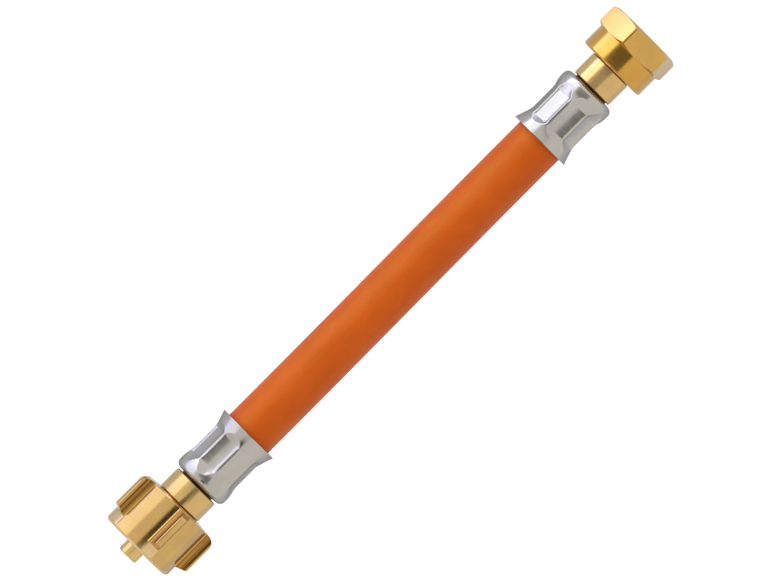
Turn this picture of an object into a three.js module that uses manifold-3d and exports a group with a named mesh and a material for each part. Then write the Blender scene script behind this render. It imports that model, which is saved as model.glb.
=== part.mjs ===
// Flexible gas hose with a crimped fitting at each end. A rubber hose is held on two brass nipples by
// pressed steel ferrules. A winged union nut turns on the bottle nipple, and a hexagon union nut turns
// on the appliance nipple.
// Millimetres, +Z up. The hose lies along X on the plane z = 0, with the appliance end towards +X, and
// the winged nut rests on two of its wings, the hexagon nut on one of its flats.

import * as THREE from "three";
import { mergeVertices } from "three/addons/utils/BufferGeometryUtils.js";
import Module from "manifold-3d";

const wasm = await Module();
wasm.setup();

// Clearances
const seatGap = 0.3; // between pieces that bear on each other
const lipGap = 0.55; // the open slit between a ferrule's lip and the nipple's stub

// Hose
const hoseBore = 6.3;
const hoseWall = 5;
const hoseFreeLength = 123.3; // between the mouths of the two ferrules
const boreCone = 1.5; // over which the bore closes in again past a nipple's tail

// The hose's line between the ferrules: share of its free length, share of the drop between its ends
const hoseRoute = [
  [0, 0],
  [0.05, 0],
  [0.1, 0.01],
  [0.16, 0.04],
  [0.22, 0.09],
  [0.29, 0.17],
  [0.36, 0.28],
  [0.43, 0.39],
  [0.5, 0.5],
  [0.57, 0.61],
  [0.64, 0.72],
  [0.71, 0.83],
  [0.78, 0.91],
  [0.84, 0.96],
  [0.9, 0.99],
  [0.95, 1],
  [1, 1],
];

// Ferrule: a pressed steel cup, crimped on by eight jaws
const ferruleLength = 21.4;
const ferruleWall = 0.8;
const shoulderRadius = 9.33; // the uncrimped bulge behind the lip
const waistRadius = 8.66; // on the ridges between the jaw marks
const mouthRadius = 10.33; // the rim of the trumpet mouth
const mouthEdge = 0.45; // thickness of that rim
const lipHoleRadius = 6.3;
const lipFlatRadius = 7.4; // where the flat lip turns into its round corner
const shoulderSeat = 2.6; // from the lip to the fullest part of the bulge
const waistStart = 8.4;
const waistEnd = 16.2;
const mouthFlare = 1.25; // 1 is a straight cone, and more is a trumpet
const crimpJaws = 8;
const crimpDepth = 0.48;
const crimpStart = 4.2; // from the lip to where the marks run out towards it
const crimpFloorStart = 6.2;
const crimpFloorEnd = 17.2;
const crimpEnd = 18;

// Nipples: turned brass, the same tail at both ends
const nippleBore = 4.5;
const tailRadius = 3.75;
const barbRadius = 4.1;
const barbCount = 3;
const barbPitch = 4.6;
const tailLength = 19.5; // from the ferrule's lip to the tail's end
const lockCollarRadius = 6.9;
const lockCollarLength = 1.2;
const edgeBreak = 0.3; // small turned chamfers

// Bottle nipple
const bottleStubRadius = 7.8;
const bottleStubLength = 7.1;
const bottleNeckRadius = 5.8;
const bottleHeadRadius = 9.2;
const bottleHeadLength = 2.6;
const bottleHeadCone = 2;
const noseRadius = 3.3;
const noseReach = 3.8; // past the front of the winged nut

// Appliance nipple
const applianceStubRadius = 7.15;
const applianceStubLength = 7.9;
const applianceNeckRadius = 5.4;
const applianceHeadRadius = 7.05;
const applianceHeadLength = 1.8;
const applianceConeLength = 3;
const applianceConeRadius = 4.2; // at the small end of the sealing cone

// Winged union nut, W 21.8 x 1/14 left-hand thread
const wingedNutLength = 18.3;
const wingedBodyRadius = 12.45;
const wingedFrontChamfer = 0.7;
const wingedRearWall = 3.6;
const bottleThreadRadius = 10.9;
const bottleThreadPitch = 1.814;
const wingCount = 5;
const wingTipRadius = 15.95;
const wingTipWidth = 2.3;
const wingRootWidth = 5.2;
const wingNeckRadius = 14.3; // where the hollow flank runs into the straight tip
const wingEdgeRound = 0.5;
const wingFrontSlant = 1.35;
const wingStubLength = 4.1; // in front, where each wing is turned off
const wingStubRise = 0.15; // what is left of it there above the body
const wingBackRound = 2.4; // length of the rounded corner at the back of a wing
const wingedBackDome = 0.95; // how much the back falls away from its middle to the wing tips

// Hexagon union nut, G 3/8 left-hand thread
const hexAcrossFlats = 23;
const hexLength = 7.6;
const hexChamferDepth = 1.1; // at the corners
const hexFaceRadius = 11.1; // of the turned circle on each end of the hexagon
const hexCollarRadius = 11.4; // of the round back of the nut
const hexCollarLength = 7.2;
const hexCollarChamfer = 0.5;
const hexRearWall = 3;
const applianceThreadRadius = 8.33;
const applianceThreadPitch = 1.337;

const threadDepthShare = 0.64; // depth of a 55 degree pipe thread as a share of its pitch

// How far each ferrule is turned about the hose, in degrees from a jaw mark straight up
const bottleCrimpTurn = 30;
const applianceCrimpTurn = -6.3;

// Facets around each turned piece
const facetsPerMark = 6; // across one jaw mark of a ferrule, its ridge included
const ferruleFacets = crimpJaws * facetsPerMark;
const facetsPerWing = 12; // from one wing of the nut to the next
const wingedFacets = wingCount * facetsPerWing;
const hexFacets = 48;
const nippleFacets = 24;
const hoseFacets = 24;
const curveFacets = 4; // along each curve of a wing's section
const quarterSteps = [0, 0.25, 0.5, 0.75, 1]; // along a quarter round
const mergeDistance = 1e-4;

// Sizes worked out from those above
const hoseRadius = hoseBore / 2 + hoseWall;
const bottleThreadMinor = bottleThreadRadius - threadDepthShare * bottleThreadPitch;
const applianceThreadMinor = applianceThreadRadius - threadDepthShare * applianceThreadPitch;
const grooveRadius = lipHoleRadius - seatGap;
const lockCollarFront = -(ferruleWall + seatGap);
const lockCollarBack = lockCollarFront - lockCollarLength;
const hoseEnd = lockCollarBack - seatGap;
const swagedRadius = waistRadius - crimpDepth - ferruleWall - seatGap;
const sleeveBoreRadius = barbRadius + seatGap;

// The stations along an end fitting, measured outwards from the front of its ferrule's lip
const bottleStubEnd = lipGap + bottleStubLength;
const wingedNutBack = bottleStubEnd + seatGap;
const wingedNutFront = wingedNutBack + wingedNutLength;
const bottleReach = wingedNutFront + noseReach;
const applianceStubEnd = lipGap + applianceStubLength;
const hexNutBack = applianceStubEnd + seatGap;
const hexNutFront = hexNutBack + hexCollarLength + hexLength;
const applianceReach = hexNutFront;

const overallLength = bottleReach + 2 * ferruleLength + hoseFreeLength + applianceReach;
const bottleLipX = -overallLength / 2 + bottleReach;
const applianceLipX = overallLength / 2 - applianceReach;

const brass = { color: 0xc9a75c, roughness: 0.25, metalness: 1 };
const steel = { color: 0xb9b3b1, roughness: 0.3, metalness: 1 };
const rubber = { color: 0xc8601f, roughness: 0.55, metalness: 0 };

// A ring turned about the X axis. Its profile is a list of [x, radius] that runs outwards along the
// outer wall and back along the bore.
function turned(profile, facets) {
  const points = profile.map(([x, radius]) => new THREE.Vector2(radius, x));
  points.push(points[0].clone());
  const geometry = new THREE.LatheGeometry(points, facets);
  geometry.rotateZ(-Math.PI / 2);
  return geometry;
}

// The solid of a closed geometry, for joining and cutting.
function solidOf(geometry) {
  const bare = geometry.clone();
  bare.deleteAttribute("normal");
  bare.deleteAttribute("uv");
  const merged = mergeVertices(bare, mergeDistance);
  const vertProperties = merged.attributes.position.array;
  const triVerts = new Uint32Array(merged.index.array);
  return new wasm.Manifold(new wasm.Mesh({ numProp: 3, vertProperties, triVerts }));
}

function geometryOf(solid) {
  const mesh = solid.getMesh();
  const geometry = new THREE.BufferGeometry();
  geometry.setAttribute("position", new THREE.BufferAttribute(mesh.vertProperties, 3));
  geometry.setIndex(new THREE.BufferAttribute(mesh.triVerts, 1));
  geometry.computeVertexNormals();
  return geometry;
}

function namedMesh(name, geometry, finish) {
  const mesh = new THREE.Mesh(geometry, new THREE.MeshStandardMaterial(finish));
  mesh.name = name;
  return mesh;
}

// Ferrule: the round corner behind the lip, as [distance from the lip, radius]. The inner wall's corner
// has the same centre, so its radius is smaller by the wall.
function ferruleCorner(wall) {
  const corner = shoulderRadius - lipFlatRadius;
  return quarterSteps.map((share) => {
    const angle = (share * Math.PI) / 2;
    const round = corner - wall;
    return [corner - round * Math.cos(angle), lipFlatRadius + round * Math.sin(angle)];
  });
}

// The radius of the ferrule's outside past its corner: the bulge, the waist, the trumpet mouth.
function ferruleRadius(distance) {
  const toWaist = THREE.MathUtils.smoothstep(distance, shoulderSeat, waistStart);
  const toMouth = Math.max(0, distance - waistEnd) / (ferruleLength - waistEnd);
  const bulge = (shoulderRadius - waistRadius) * (1 - toWaist);
  return waistRadius + bulge + (mouthRadius - waistRadius) * toMouth ** mouthFlare;
}

// How deep the jaw marks are at a distance from the lip: nothing, the ramp, the floor, the ramp.
function crimpAt(distance) {
  const runIn = THREE.MathUtils.smoothstep(distance, crimpStart, crimpFloorStart);
  const runOut = 1 - THREE.MathUtils.smoothstep(distance, crimpFloorEnd, crimpEnd);
  return crimpDepth * Math.min(runIn, runOut);
}

// Presses the jaw marks into a ferrule. A narrow ridge is left between each two of them.
function pressMarks(geometry) {
  const position = geometry.attributes.position;
  const point = new THREE.Vector3();
  const halfMark = facetsPerMark / 2;
  for (let i = 0; i < position.count; i += 1) {
    point.fromBufferAttribute(position, i);
    const radius = Math.hypot(point.y, point.z);
    const facet = Math.round((Math.atan2(point.y, point.z) / (2 * Math.PI)) * ferruleFacets);
    const onRidge = Math.abs((facet + halfMark) % facetsPerMark) === 0;
    const pressed = onRidge ? radius : radius - crimpAt(-point.x);
    point.y *= pressed / radius;
    point.z *= pressed / radius;
    position.setXYZ(i, point.x, point.y, point.z);
  }
  geometry.computeVertexNormals();
}

function ferrule(name, turn) {
  const flareSteps = [1 / 3, 2 / 3].map((share) => crimpEnd + share * (ferruleLength - crimpEnd));
  const stations = [
    shoulderSeat,
    crimpStart,
    crimpFloorStart,
    waistStart,
    waistEnd,
    crimpFloorEnd,
    crimpEnd,
    ...flareSteps,
  ].sort((a, b) => a - b);
  const outer = [
    ...ferruleCorner(0),
    ...stations.map((distance) => [distance, ferruleRadius(distance)]),
    [ferruleLength, mouthRadius],
  ];
  const inner = [
    ...ferruleCorner(ferruleWall),
    ...stations.map((distance) => [distance, ferruleRadius(distance) - ferruleWall]),
    [ferruleLength, mouthRadius - mouthEdge],
  ];
  const lip = [
    [0, lipHoleRadius],
    [ferruleWall, lipHoleRadius],
  ];
  const profile = [...outer.reverse(), ...lip, ...inner];
  const geometry = turned(profile.map(([distance, radius]) => [-distance, radius]), ferruleFacets);
  pressMarks(geometry);
  geometry.rotateX(THREE.MathUtils.degToRad(turn));
  return namedMesh(name, geometry, steel);
}

// Nipple: the barbed tail in the hose, the collar that locks the ferrule, the groove that its lip
// grips, the stub, and the neck that the nut turns on. The head differs from end to end.
function nipple(name, stubRadius, stubEnd, neckRadius, head) {
  const barbs = [];
  for (let i = 0; i < barbCount; i += 1) {
    const crest = -tailLength + (i + 1) * barbPitch;
    barbs.push([crest, barbRadius], [crest + edgeBreak, tailRadius]);
  }
  const front = head[head.length - 1][0];
  const profile = [
    [-tailLength, tailRadius - edgeBreak],
    ...barbs,
    [lockCollarBack, tailRadius],
    [lockCollarBack, lockCollarRadius],
    [lockCollarFront, lockCollarRadius],
    [lockCollarFront, grooveRadius],
    [lipGap, grooveRadius],
    [lipGap, stubRadius - edgeBreak],
    [lipGap + edgeBreak, stubRadius],
    [stubEnd - edgeBreak, stubRadius],
    [stubEnd, stubRadius - edgeBreak],
    [stubEnd, neckRadius],
    ...head,
    [front, nippleBore / 2],
    [-tailLength, nippleBore / 2],
  ];
  return namedMesh(name, turned(profile, nippleFacets), brass);
}

function bottleNipple() {
  const headBack = wingedNutBack + wingedRearWall + seatGap;
  const headFront = headBack + bottleHeadLength;
  const shoulderAtNose = (bottleHeadRadius + noseRadius) / 2;
  return nipple("bottle_nipple", bottleStubRadius, bottleStubEnd, bottleNeckRadius, [
    [headBack, bottleNeckRadius],
    [headBack, bottleHeadRadius],
    [headFront, bottleHeadRadius],
    [headFront + bottleHeadCone, shoulderAtNose],
    [headFront + bottleHeadCone, noseRadius],
    [bottleReach - edgeBreak, noseRadius],
    [bottleReach, noseRadius - edgeBreak],
  ]);
}

function applianceNipple() {
  const headBack = hexNutBack + hexRearWall + seatGap;
  const headFront = headBack + applianceHeadLength;
  return nipple("appliance_nipple", applianceStubRadius, applianceStubEnd, applianceNeckRadius, [
    [headBack, applianceNeckRadius],
    [headBack, applianceHeadRadius],
    [headFront, applianceHeadRadius],
    [headFront + applianceConeLength, applianceConeRadius],
  ]);
}

// The profile of a nut's inside, from its front face to its back: the mouth's countersink, the
// threaded socket at its minor diameter, and the hole that turns on the nipple's neck.
function socketProfile(front, back, rearWall, majorRadius, minorRadius, neckRadius) {
  const socketFloor = back + rearWall;
  const countersink = majorRadius - minorRadius;
  return [
    [front, majorRadius],
    [front - countersink, minorRadius],
    [socketFloor, minorRadius],
    [socketFloor, neckRadius + seatGap],
    [back, neckRadius + seatGap],
  ];
}

// One wing, as the section across the nut: a wide hollow-flanked root and a straight, round-edged tip.
function wingOutline() {
  const halfTip = wingTipWidth / 2;
  const halfRoot = wingRootWidth / 2;
  const buried = wingedBodyRadius - 2 * wingEdgeRound;
  const root = wingedBodyRadius - wingEdgeRound / 2;
  const outline = new THREE.Shape();
  outline.moveTo(-halfRoot, buried);
  outline.lineTo(halfRoot, buried);
  outline.lineTo(halfRoot, root);
  outline.quadraticCurveTo(halfTip, (root + wingNeckRadius) / 2, halfTip, wingNeckRadius);
  outline.lineTo(halfTip, wingTipRadius - wingEdgeRound);
  outline.quadraticCurveTo(halfTip, wingTipRadius, halfTip - wingEdgeRound, wingTipRadius);
  outline.lineTo(-halfTip + wingEdgeRound, wingTipRadius);
  outline.quadraticCurveTo(-halfTip, wingTipRadius, -halfTip, wingTipRadius - wingEdgeRound);
  outline.lineTo(-halfTip, wingNeckRadius);
  outline.quadraticCurveTo(-halfTip, (root + wingNeckRadius) / 2, -halfRoot, root);
  outline.lineTo(-halfRoot, buried);
  return outline;
}

// Winged nut: five wings stand on a turned body. Each is turned off to a low stub in front, starts with
// a slanting face, and is rounded behind.
function wingedNut() {
  const front = wingedNutFront;
  const back = wingedNutBack;
  const stubFront = front - wingedFrontChamfer - wingStubRise;
  const stubBack = front - wingStubLength;
  const stubRadius = wingedBodyRadius + wingStubRise;
  const domeSlope = wingedBackDome / (wingTipRadius - bottleStubRadius);
  const backAt = (radius) => back + Math.max(0, radius - bottleStubRadius) * domeSlope;
  const bodyCorner = wingedBodyRadius - wingEdgeRound;
  const socket = socketProfile(
    front,
    back,
    wingedRearWall,
    bottleThreadRadius,
    bottleThreadMinor,
    bottleNeckRadius,
  );
  const body = turned(
    [
      [backAt(bottleStubRadius), bottleStubRadius],
      [backAt(bodyCorner), bodyCorner],
      [backAt(wingedBodyRadius) + wingEdgeRound, wingedBodyRadius],
      [front - wingedFrontChamfer, wingedBodyRadius],
      [front, wingedBodyRadius - wingedFrontChamfer],
      ...socket,
    ],
    wingedFacets,
  );
  const wing = new THREE.ExtrudeGeometry(wingOutline(), {
    depth: wingedNutLength,
    bevelEnabled: false,
    curveSegments: curveFacets,
  });
  wing.rotateY(Math.PI / 2);
  wing.translate(back, 0, 0);

  // The turned outline that trims the wings to length.
  const beyond = wingTipRadius + wingEdgeRound;
  const roundedBack = quarterSteps.map((share) => {
    const angle = (share * Math.PI) / 2;
    const radius = wingTipRadius - wingBackRound * (1 - Math.sin(angle));
    return [backAt(radius) + wingBackRound * (1 - Math.cos(angle)), radius];
  });
  const inside = bottleThreadRadius;
  const trim = turned(
    [
      [backAt(inside), inside],
      ...roundedBack,
      [backAt(wingTipRadius) + wingBackRound, beyond],
      [stubBack - wingFrontSlant, beyond],
      [stubBack - wingFrontSlant, wingTipRadius],
      [stubBack, stubRadius],
      [stubFront, stubRadius],
      [stubFront, inside],
    ],
    wingedFacets,
  );
  const trimSolid = solidOf(trim);
  let nut = solidOf(body);
  for (let i = 0; i < wingCount; i += 1) {
    const placed = wing.clone();
    placed.rotateX(Math.PI / 2 + (i * 2 * Math.PI) / wingCount);
    nut = nut.add(solidOf(placed).intersect(trimSolid));
  }
  return namedMesh("winged_union_nut", geometryOf(nut), brass);
}

// Hexagon nut: a hexagon with turned corners in front, a round collar behind.
function hexNut() {
  const hexBack = hexNutFront - hexLength;
  const cornerRadius = hexAcrossFlats / 2 / Math.cos(Math.PI / 6);
  const beyond = cornerRadius + hexChamferDepth;
  const chamferSlope = hexChamferDepth / (cornerRadius - hexFaceRadius);
  const chamferReach = (beyond - hexFaceRadius) * chamferSlope;
  const hexagon = new THREE.CylinderGeometry(cornerRadius, cornerRadius, hexLength, 6);
  hexagon.rotateZ(-Math.PI / 2);
  hexagon.rotateX(Math.PI / 6);
  hexagon.translate(hexBack + hexLength / 2, 0, 0);
  const socket = socketProfile(
    hexNutFront,
    hexNutBack,
    hexRearWall,
    applianceThreadRadius,
    applianceThreadMinor,
    applianceNeckRadius,
  );
  const trim = turned(
    [
      [hexNutBack, hexCollarRadius - hexCollarChamfer],
      [hexNutBack + hexCollarChamfer, hexCollarRadius],
      [hexBack, hexCollarRadius],
      [hexBack + chamferReach, beyond],
      [hexNutFront - chamferReach, beyond],
      [hexNutFront, hexFaceRadius],
      ...socket,
    ],
    hexFacets,
  );
  const blank = turned(
    [
      [hexNutBack, hexCollarRadius - hexCollarChamfer],
      [hexNutBack + hexCollarChamfer, hexCollarRadius],
      [hexBack + hexChamferDepth, hexCollarRadius],
      [hexBack + hexChamferDepth, applianceNeckRadius],
      [hexNutBack, applianceNeckRadius],
    ],
    hexFacets,
  );
  const nut = solidOf(hexagon).add(solidOf(blank)).intersect(solidOf(trim));
  return namedMesh("hex_union_nut", geometryOf(nut), brass);
}

// Height of the hose's axis at a place along X, between the axes of its two fittings.
function routeHeight(x, bottleAxis, applianceAxis) {
  const start = bottleLipX + ferruleLength;
  const share = THREE.MathUtils.clamp((x - start) / hoseFreeLength, 0, 1);
  const after = Math.max(1, hoseRoute.findIndex(([along]) => along >= share));
  const [fromAlong, fromDrop] = hoseRoute[after - 1];
  const [toAlong, toDrop] = hoseRoute[after];
  const drop = fromDrop + ((toDrop - fromDrop) * (share - fromAlong)) / (toAlong - fromAlong);
  return bottleAxis + drop * (applianceAxis - bottleAxis);
}

// Hose: swaged down and its bore opened out under each ferrule, full size between them. Each of its
// rings is set at the height of the route.
function hose(bottleAxis, applianceAxis) {
  const flareStart = -crimpEnd;
  const fullFrom = -(crimpEnd + ferruleLength) / 2;
  const coneStart = -(tailLength + seatGap);
  const swagedEnd = [
    [hoseEnd, swagedRadius],
    [flareStart, swagedRadius],
    [fullFrom, hoseRadius - seatGap],
    [-ferruleLength, hoseRadius],
  ];
  const openedEnd = [
    [hoseEnd, sleeveBoreRadius],
    [coneStart, sleeveBoreRadius],
    [coneStart - boreCone, hoseBore / 2],
  ];
  const fromBottle = ([station, radius]) => [bottleLipX - station, radius];
  const fromAppliance = ([station, radius]) => [applianceLipX + station, radius];
  const freeStart = bottleLipX + ferruleLength;
  const between = hoseRoute.slice(1, -1).map(([along]) => freeStart + along * hoseFreeLength);
  const outer = [
    ...swagedEnd.map(fromBottle),
    ...between.map((x) => [x, hoseRadius]),
    ...swagedEnd.map(fromAppliance).reverse(),
  ];
  const bore = [
    ...openedEnd.map(fromBottle),
    ...between.map((x) => [x, hoseBore / 2]),
    ...openedEnd.map(fromAppliance).reverse(),
  ];
  const geometry = turned([...outer, ...bore.reverse()], hoseFacets);
  const position = geometry.attributes.position;
  for (let i = 0; i < position.count; i += 1) {
    position.setZ(i, position.getZ(i) + routeHeight(position.getX(i), bottleAxis, applianceAxis));
  }
  geometry.computeVertexNormals();
  return namedMesh("hose", geometry, rubber);
}

// How far a mesh reaches below the axis that it was made on.
function reachBelow(mesh) {
  mesh.geometry.computeBoundingBox();
  return -mesh.geometry.boundingBox.min.z;
}

const wingedUnionNut = wingedNut();
const hexUnionNut = hexNut();
const bottleAxisHeight = reachBelow(wingedUnionNut);
const applianceAxisHeight = reachBelow(hexUnionNut);

// Each end's pieces are made pointing along +X from the ferrule's lip. The bottle end is turned about.
const bottleEnd = new THREE.Group();
bottleEnd.add(wingedUnionNut, bottleNipple(), ferrule("bottle_ferrule", bottleCrimpTurn));
bottleEnd.rotation.z = Math.PI;
bottleEnd.position.set(bottleLipX, 0, bottleAxisHeight);

const applianceEnd = new THREE.Group();
applianceEnd.add(hexUnionNut, applianceNipple(), ferrule("appliance_ferrule", applianceCrimpTurn));
applianceEnd.position.set(applianceLipX, 0, applianceAxisHeight);

const gasHose = new THREE.Group();
gasHose.add(bottleEnd, hose(bottleAxisHeight, applianceAxisHeight), applianceEnd);

export default gasHose;
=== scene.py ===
import math

import bmesh
import bpy
from mathutils import Matrix, Vector


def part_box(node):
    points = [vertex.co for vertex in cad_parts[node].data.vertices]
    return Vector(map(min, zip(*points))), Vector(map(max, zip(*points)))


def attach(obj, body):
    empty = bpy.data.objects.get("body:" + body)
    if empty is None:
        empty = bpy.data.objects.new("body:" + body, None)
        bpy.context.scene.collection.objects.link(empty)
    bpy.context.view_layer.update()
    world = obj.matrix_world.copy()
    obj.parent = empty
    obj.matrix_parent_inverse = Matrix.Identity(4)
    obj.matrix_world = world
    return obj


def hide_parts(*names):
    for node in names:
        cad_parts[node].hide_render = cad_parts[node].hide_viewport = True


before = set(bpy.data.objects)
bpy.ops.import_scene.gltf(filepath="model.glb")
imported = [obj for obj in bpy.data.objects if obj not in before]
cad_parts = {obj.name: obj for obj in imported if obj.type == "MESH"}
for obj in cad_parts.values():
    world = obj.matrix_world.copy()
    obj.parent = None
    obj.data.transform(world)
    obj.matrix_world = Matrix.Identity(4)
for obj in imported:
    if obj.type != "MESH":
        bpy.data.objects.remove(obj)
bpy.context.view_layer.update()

# Camera. It looks down on the hose from far off, almost square to its length and leaning a little
# towards +Y, and it is turned about its own line of sight so that the hose runs from the lower left to
# the upper right.
MM = 0.001
camera_lean = math.radians(16)
camera_tilt = math.radians(-0.2)
camera_turn = math.radians(45)
camera_lens = 1000
camera_distance = 6.467
aim_along = 1.28
aim_across = -0.19
aim_height = 12.65

towards_camera = Vector(
    (
        -math.sin(camera_tilt),
        math.cos(camera_tilt) * math.sin(camera_lean),
        math.cos(camera_tilt) * math.cos(camera_lean),
    )
)
across_hose = towards_camera.cross(Vector((1, 0, 0))).normalized()
along_hose = across_hose.cross(towards_camera)
camera_right = along_hose * math.cos(camera_turn) - across_hose * math.sin(camera_turn)
camera_up = along_hose * math.sin(camera_turn) + across_hose * math.cos(camera_turn)
aim = Vector((aim_along, aim_across, aim_height)) * MM

bpy.ops.object.select_all(action="DESELECT")
bpy.ops.object.camera_add()
camera = bpy.context.object
camera.name = "camera"
camera.data.lens = camera_lens
camera.data.clip_start = 0.01
camera.data.clip_end = 100
camera.matrix_world = Matrix.Translation(aim + towards_camera * camera_distance) @ Matrix(
    (camera_right, camera_up, towards_camera)
).transposed().to_4x4()
bpy.context.scene.camera = camera


# Hose. Orange rubber extruded over a fibre braid, 6.3 mm bore and 5 mm wall. Each end is pushed over
# the barbs of a nipple and squeezed by its ferrule. The middle falls a little from the bottle end's
# axis to the appliance end's, because the two nuts hold the ends at different heights.
hose_bore_radius = 3.15
hose_radius = 8.15
swaged_radius = 6.95
opened_bore_radius = 4.4
bottle_lip = -79.8
appliance_lip = 86.3
ferrule_length = 21.4
hose_start = -77.2
hose_finish = 83.7
swaged_for = 18.0
swelling_done = 20.4
bore_opened_for = 19.8
bore_cone = 1.5
straight_share = 0.05
hose_facets = 96
free_steps = 56
path_steps = 40
end_bevel = 0.4
swelling_fullness = 0.12
smooth_hose_under = 40
weld_within = 0.004


def axis_of(node):
    low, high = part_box(node)
    return (low.z + high.z) / 2 / MM


bottle_axis = axis_of("bottle_nipple")
appliance_axis = axis_of("appliance_nipple")
free_from = bottle_lip + ferrule_length
free_to = appliance_lip - ferrule_length


def hose_axis(x):
    share = (x - free_from) / (free_to - free_from)
    share = min(1, max(0, (share - straight_share) / (1 - 2 * straight_share)))
    return bottle_axis + (appliance_axis - bottle_axis) * share * share * (3 - 2 * share)


def start_ring(name, facets, x, height, radius):
    bpy.ops.object.select_all(action="DESELECT")
    bpy.ops.mesh.primitive_circle_add(
        vertices=facets,
        radius=radius * MM,
        location=(x * MM, 0, height * MM),
        rotation=(0, math.pi / 2, 0),
    )
    piece = bpy.context.object
    piece.name = name
    bpy.ops.object.transform_apply(location=True, rotation=True, scale=True)
    return piece


def pull_rings(stations):
    """Extrudes what is selected from station to station, each its place along X, axis height and radius."""
    for (x, height, radius), (next_x, next_height, next_radius) in zip(stations, stations[1:]):
        step = ((next_x - x) * MM, 0, (next_height - height) * MM)
        bpy.ops.mesh.extrude_region_move(TRANSFORM_OT_translate={"value": step})
        growth = next_radius / radius
        bpy.ops.transform.resize(
            value=(1, growth, growth), center_override=(next_x * MM, 0, next_height * MM)
        )


def edit_whole():
    bpy.ops.object.mode_set(mode="EDIT")
    bpy.ops.mesh.select_mode(type="VERT")
    bpy.ops.mesh.select_all(action="SELECT")


def close_mesh(piece):
    """Joins what meets and turns every face outwards, also where the first guess is inside out."""
    bpy.ops.mesh.select_all(action="SELECT")
    bpy.ops.mesh.remove_doubles(threshold=weld_within * MM)
    bpy.ops.mesh.normals_make_consistent(inside=False)
    if bmesh.from_edit_mesh(piece.data).calc_volume(signed=True) < 0:
        bpy.ops.mesh.flip_normals()


def turned_piece(name, facets, stations):
    """A ring turned about the hose's line: its profile runs once round the wall and closes on itself."""
    piece = start_ring(name, facets, *stations[0])
    edit_whole()
    pull_rings([*stations, stations[0]])
    close_mesh(piece)
    bpy.ops.object.mode_set(mode="OBJECT")
    return piece


def smooth_under(piece, degrees):
    bpy.ops.object.select_all(action="DESELECT")
    piece.select_set(True)
    bpy.context.view_layer.objects.active = piece
    bpy.ops.object.shade_smooth_by_angle(angle=math.radians(degrees))


def hose_station(x, radius):
    return (x, hose_axis(x), radius)


swelling_middle = (swaged_for + swelling_done) / 2
swelling_radius = (swaged_radius + hose_radius) / 2 + swelling_fullness
hose_outside = [
    (hose_start, swaged_radius - end_bevel),
    (hose_start + end_bevel, swaged_radius),
    (bottle_lip + swaged_for, swaged_radius),
    (bottle_lip + swelling_middle, swelling_radius),
    (bottle_lip + swelling_done, hose_radius),
]
for step in range(free_steps + 1):
    hose_outside.append((free_from + (free_to - free_from) * step / free_steps, hose_radius))
hose_outside += [
    (appliance_lip - swelling_done, hose_radius),
    (appliance_lip - swelling_middle, swelling_radius),
    (appliance_lip - swaged_for, swaged_radius),
    (hose_finish - end_bevel, swaged_radius),
    (hose_finish, swaged_radius - end_bevel),
]
hose_inside = [
    (hose_start, opened_bore_radius),
    (bottle_lip + bore_opened_for, opened_bore_radius),
    (bottle_lip + bore_opened_for + bore_cone, hose_bore_radius),
]
for step in range(1, free_steps):
    hose_inside.append((free_from + (free_to - free_from) * step / free_steps, hose_bore_radius))
hose_inside += [
    (appliance_lip - bore_opened_for - bore_cone, hose_bore_radius),
    (appliance_lip - bore_opened_for, opened_bore_radius),
    (hose_finish, opened_bore_radius),
]
hose_profile = [hose_station(x, radius) for x, radius in hose_outside + hose_inside[::-1]]
hose = turned_piece("gas_hose", hose_facets, hose_profile)
smooth_under(hose, smooth_hose_under)


def streaks(finish, along, across, detail, seed=0.0):
    """Noise on Object coordinates, so many changes a metre along the hose and across it."""
    nodes, links = finish.node_tree.nodes, finish.node_tree.links
    place = nodes.new("ShaderNodeTexCoord")
    stretch = nodes.new("ShaderNodeMapping")
    stretch.inputs["Scale"].default_value = (along, across, across)
    stretch.inputs["Location"].default_value = (seed, seed / 2, seed / 3)
    noise = nodes.new("ShaderNodeTexNoise")
    noise.inputs["Scale"].default_value = 1
    noise.inputs["Detail"].default_value = detail
    links.new(place.outputs["Object"], stretch.inputs["Vector"])
    links.new(stretch.outputs["Vector"], noise.inputs["Vector"])
    return noise.outputs["Fac"]


def shades(finish, source, target, stops):
    """Runs a 0 to 1 pattern through a ramp of colours into a socket of the shader."""
    nodes, links = finish.node_tree.nodes, finish.node_tree.links
    ramp = nodes.new("ShaderNodeValToRGB")
    while len(ramp.color_ramp.elements) < len(stops):
        ramp.color_ramp.elements.new(0.5)
    for element, (position, color) in zip(ramp.color_ramp.elements, stops):
        element.position = position
        element.color = (*color, 1)
    links.new(source, ramp.inputs["Fac"])
    links.new(ramp.outputs["Color"], target)


def spread(finish, source, target, low, high):
    """Runs the middle of a noise, from 0.3 to 0.7, on to a range of a number's socket."""
    nodes, links = finish.node_tree.nodes, finish.node_tree.links
    fit = nodes.new("ShaderNodeMapRange")
    fit.inputs["From Min"].default_value = 0.3
    fit.inputs["From Max"].default_value = 0.7
    fit.inputs["To Min"].default_value = low
    fit.inputs["To Max"].default_value = high
    links.new(source, fit.inputs["Value"])
    links.new(fit.outputs["Result"], target)


def relief(finish, source, depth, strength, under=None):
    """A bump of so many metres. It lies on top of another bump where one is given."""
    nodes, links = finish.node_tree.nodes, finish.node_tree.links
    bump = nodes.new("ShaderNodeBump")
    bump.inputs["Distance"].default_value = depth
    bump.inputs["Strength"].default_value = strength
    links.new(source, bump.inputs["Height"])
    if under is not None:
        links.new(under.outputs["Normal"], bump.inputs["Normal"])
    return bump


def new_finish(name):
    finish = bpy.data.materials.new(name)
    finish.use_nodes = True
    return finish, finish.node_tree.nodes["Principled BSDF"], finish.node_tree.links


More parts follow.
